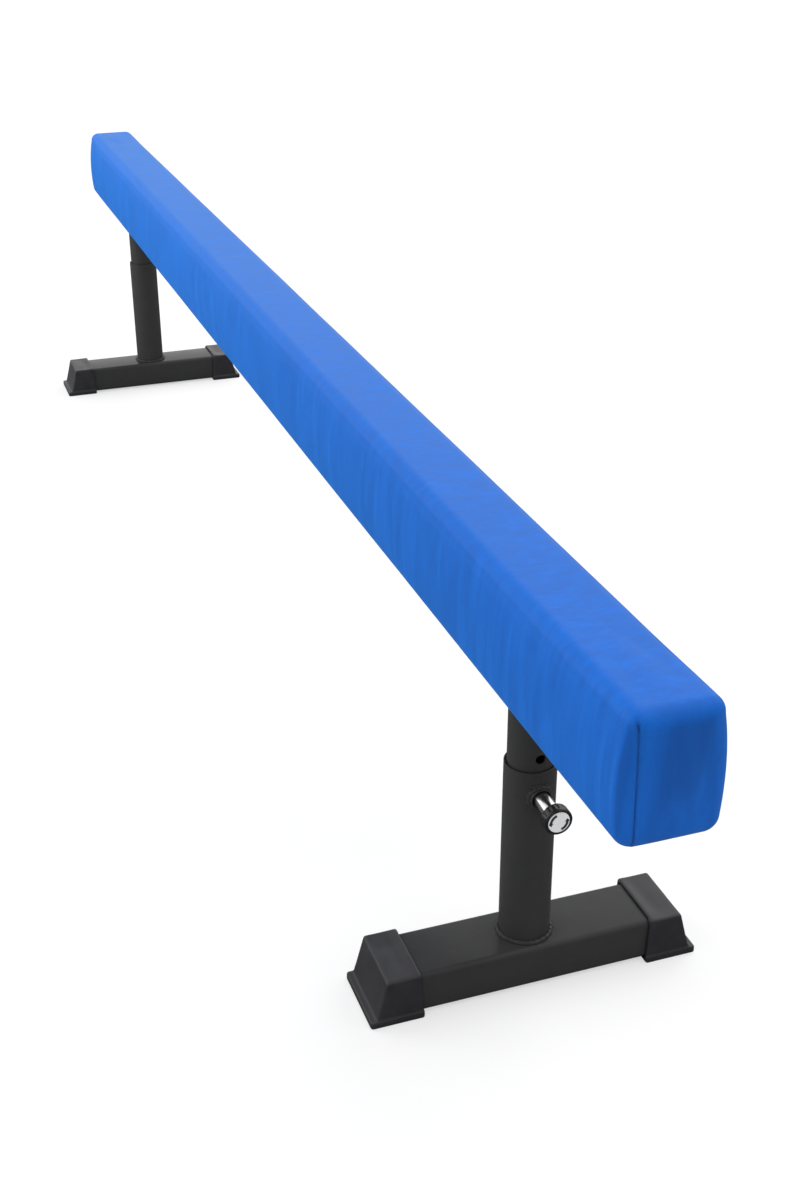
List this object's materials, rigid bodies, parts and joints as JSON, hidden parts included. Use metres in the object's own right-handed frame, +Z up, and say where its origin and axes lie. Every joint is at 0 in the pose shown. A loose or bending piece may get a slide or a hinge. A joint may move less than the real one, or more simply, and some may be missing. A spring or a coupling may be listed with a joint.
{
  "type": "balance beam",
  "caption": "Low padded balance beam with a suede cover on height-adjustable T stands with telescoping uprights, screw-in pull pins and rubber feet.",
  "frame": {"origin": "on the floor, under the middle of the beam", "axes": "+X along the beam towards the near stand, +Z up, +Y across the beam"},
  "size_m": [2.7432, 0.3888, 0.5038],
  "materials": {
    "suede": "short-pile synthetic suede, satin blue",
    "strip": "black non-woven cloth",
    "foam": "closed-cell foam",
    "timber": "plain laminated softwood",
    "black_paint": "semi-gloss black powder coat",
    "rubber": "satin moulded rubber",
    "black_plastic": "satin moulded plastic",
    "chrome": "bright chrome plate",
    "zinc_steel": "zinc plated",
    "label_print": "printed film"
  },
  "bodies": {
    "beam": {"timber_core": "timber", "foam_wrap": "foam", "near_end_foam": "foam", "far_end_foam": "foam", "suede_cover": "suede", "underside_strip": "strip", "near_inner_tube": "black_paint", "near_mounting_plate": "black_paint", "near_plate_weld": "black_paint", "near_plate_bolt_1": "zinc_steel", "near_plate_bolt_2": "zinc_steel", "near_plate_bolt_3": "zinc_steel", "near_plate_bolt_4": "zinc_steel", "near_threaded_insert_1": "zinc_steel", "near_threaded_insert_2": "zinc_steel", "near_threaded_insert_3": "zinc_steel", "near_threaded_insert_4": "zinc_steel", "far_inner_tube": "black_paint", "far_mounting_plate": "black_paint", "far_plate_weld": "black_paint", "far_plate_bolt_1": "zinc_steel", "far_plate_bolt_2": "zinc_steel", "far_plate_bolt_3": "zinc_steel", "far_plate_bolt_4": "zinc_steel", "far_threaded_insert_1": "zinc_steel", "far_threaded_insert_2": "zinc_steel", "far_threaded_insert_3": "zinc_steel", "far_threaded_insert_4": "zinc_steel"},
    "near_stand": {"near_base_tube": "black_paint", "near_right_foot": "rubber", "near_left_foot": "rubber", "near_upright": "black_paint", "near_upright_weld": "black_paint", "near_guide_sleeve": "black_plastic", "near_pin_nut": "black_paint", "near_pin_nut_weld": "black_paint"},
    "near_pin_barrel": {"near_pin_barrel": "chrome", "near_pin_spring": "zinc_steel"},
    "near_pin_plunger": {"near_pin_plunger": "chrome"},
    "near_pin_knob": {"near_pin_knob": "black_plastic", "near_knob_label": "label_print"},
    "far_stand": {"far_base_tube": "black_paint", "far_right_foot": "rubber", "far_left_foot": "rubber", "far_upright": "black_paint", "far_upright_weld": "black_paint", "far_guide_sleeve": "black_plastic", "far_pin_nut": "black_paint", "far_pin_nut_weld": "black_paint"},
    "far_pin_barrel": {"far_pin_barrel": "chrome", "far_pin_spring": "zinc_steel"},
    "far_pin_plunger": {"far_pin_plunger": "chrome"},
    "far_pin_knob": {"far_pin_knob": "black_plastic", "far_knob_label": "label_print"}
  },
  "joints": [
    {"name": "near_height", "type": "slide", "parent": "beam", "child": "near_stand", "axis": [0, 0, -1], "range_m": [-0.0452, 0.0904]},
    {"name": "near_pin_thread", "type": "slide", "parent": "near_stand", "child": "near_pin_barrel", "axis": [1, 0, 0], "range_m": [0, 0.003]},
    {"name": "near_pin_pull", "type": "slide", "parent": "near_pin_barrel", "child": "near_pin_plunger", "axis": [1, 0, 0], "range_m": [-0.0064, 0.006], "stiffness_N_per_m": 900, "springref_m": -0.014, "deforming": ["near_pin_spring"]},
    {"name": "near_pin_turn", "type": "hinge", "parent": "near_pin_plunger", "child": "near_pin_knob", "pos_m": [1.1374, 0, 0.244], "axis": [1, 0, 0], "range_deg": [0, 720]},
    {"name": "far_height", "type": "slide", "parent": "beam", "child": "far_stand", "axis": [0, 0, -1], "range_m": [-0.0452, 0.0904]},
    {"name": "far_pin_thread", "type": "slide", "parent": "far_stand", "child": "far_pin_barrel", "axis": [-1, 0, 0], "range_m": [0, 0.003]},
    {"name": "far_pin_pull", "type": "slide", "parent": "far_pin_barrel", "child": "far_pin_plunger", "axis": [-1, 0, 0], "range_m": [-0.0064, 0.006], "stiffness_N_per_m": 900, "springref_m": -0.014, "deforming": ["far_pin_spring"]},
    {"name": "far_pin_turn", "type": "hinge", "parent": "far_pin_plunger", "child": "far_pin_knob", "pos_m": [-1.1374, 0, 0.244], "axis": [-1, 0, 0], "range_deg": [0, 720]}
  ],
  "couplings": [
    {"joint": "near_pin_turn", "follows": "near_pin_thread", "rad_per_m": 4188.8},
    {"joint": "far_pin_turn", "follows": "far_pin_thread", "rad_per_m": 4188.8}
  ]
}
